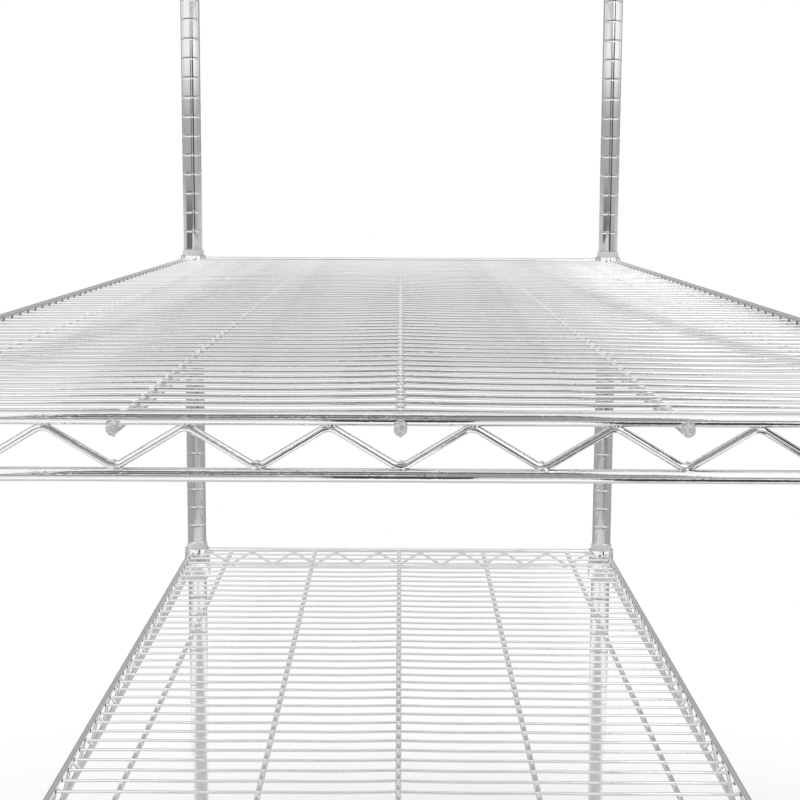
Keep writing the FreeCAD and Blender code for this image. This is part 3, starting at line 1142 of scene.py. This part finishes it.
def add_screen(name, rows, low_shade, high_shade, low=0.0, high=1.0):
    """Stage sheet of two rows of two points that only mirrors show, shaded from a low to a high height."""
    screen = add_sheet(name, rows[0] + rows[1][::-1])
    screen.visible_camera = False
    screen.visible_diffuse = False
    screen.visible_transmission = False
    screen.visible_shadow = False
    cloth, tree = new_finish(name)
    tree.nodes.clear()
    place = add_node(tree, "TexCoord", {}, "Object")
    height = add_node(tree, "SeparateXYZ", {"Vector": place}, "Z")
    shade = add_span(tree, height, low=low, high=high, low_result=low_shade, high_result=high_shade)
    glow = add_node(tree, "Emission", {"Color": shade})
    feed(tree, tree.nodes.new("ShaderNodeOutputMaterial"), {"Surface": glow})
    screen.data.materials.append(cloth)


def sheet_rows(sides, line):
    """Rows of a sheet between two sides, along a line of (x, z) points."""
    return [[(x, y, z) for y in sides] for x, z in line]


cloth_rows = sheet_rows((-0.36, 0.02), [(1.5, 1.08), (1.5, 1.46)])
add_screen("camera_cloth", cloth_rows, low_shade=0.12, high_shade=0.22, low=1.2, high=1.46)
rail_rows = [[(1.38, -0.36, 1.44), (1.38, 0.2, 1.44)], [(0.92, -0.22, 1.42), (0.92, 0.13, 1.42)]]
add_screen("rail_card", rail_rows, low_shade=0.18, high_shade=0.18)
flap_rows = sheet_rows((0.02, 0.28), [(1.5, 0.97), (1.5, 1.5)])
add_screen("camera_flap", flap_rows, low_shade=0.34, high_shade=0.25, low=1.2, high=1.5)
stand_rows = sheet_rows((-0.045, 0.045), [(1.0, 0.66), (1.0, 0.88)])
add_screen("camera_stand", stand_rows, low_shade=0.06, high_shade=0.06)
low_rows = sheet_rows((0.12, 0.25), [(0.8, 0.72), (1.08, 0.72)])
add_screen("low_card", low_rows, low_shade=0.06, high_shade=0.06)
side_rows = [[(1.5, 0.6, 0.4), (0.9, 0.95, 0.4)], [(1.5, 0.6, 1.65), (0.9, 0.95, 1.85)]]
add_screen("side_card", side_rows, low_shade=0.07, high_shade=0.07)

# Overhead lamp
# One broad soft lamp above the unit gives the floor its shadow. The metal doesn't mirror it.


def add_lamp(name, width, height, energy, place, turn):
    """Rectangular soft lamp at a place, turned to its direction."""
    lamp = bpy.data.objects.new(name, bpy.data.lights.new(name, "AREA"))
    lamp.data.shape = "RECTANGLE"
    lamp.data.size = width
    lamp.data.size_y = height
    lamp.data.energy = energy
    lamp.location = place
    lamp.rotation_euler = turn
    bpy.context.scene.collection.objects.link(lamp)
    return lamp


overhead_place = Vector((0.6, -0.8, 4.2))
overhead_turn = (-overhead_place).to_track_quat("-Z", "Y").to_euler()
overhead_lamp = add_lamp(
    "overhead_lamp", width=3.0, height=2.0, energy=60.0, place=overhead_place, turn=overhead_turn)
overhead_lamp.visible_glossy = False

# Side lamp
# A second soft lamp stands to the right of the camera, and the bright metal on that side mirrors it.
side_turn = (math.pi / 2, 0, math.pi / 2)
add_lamp("side_lamp", width=0.8, height=0.6, energy=2.2, place=(2.0, 0.85, 1.8), turn=side_turn)

# Camera
# It stands at one short end, a little above the middle shelf, and looks along the unit, slightly down.
frame_width = 800
sensor_width = 36.0
focal_pixels = 1534.2
camera_pitch = math.radians(7.742)
camera_yaw = math.radians(0.02)
camera_roll = math.radians(0.256)
camera_x = 1.3639
camera_y = -0.0005
camera_above_rail = 0.0926
camera = bpy.data.objects.new("camera", bpy.data.cameras.new("camera"))
camera.data.sensor_width = sensor_width
camera.data.lens = focal_pixels / frame_width * sensor_width
camera_turn = Euler((math.pi / 2 - camera_pitch, 0, math.pi / 2 - camera_yaw)).to_matrix()
camera_turn = camera_turn @ Matrix.Rotation(camera_roll, 3, "Z")
camera_place = Vector((camera_x, camera_y, shelf_bases[2] + top_rail_height + camera_above_rail))
camera.matrix_world = Matrix.Translation(camera_place) @ camera_turn.to_4x4()
bpy.context.scene.collection.objects.link(camera)
bpy.context.scene.camera = camera
bpy.context.scene.view_settings.view_transform = "Standard"
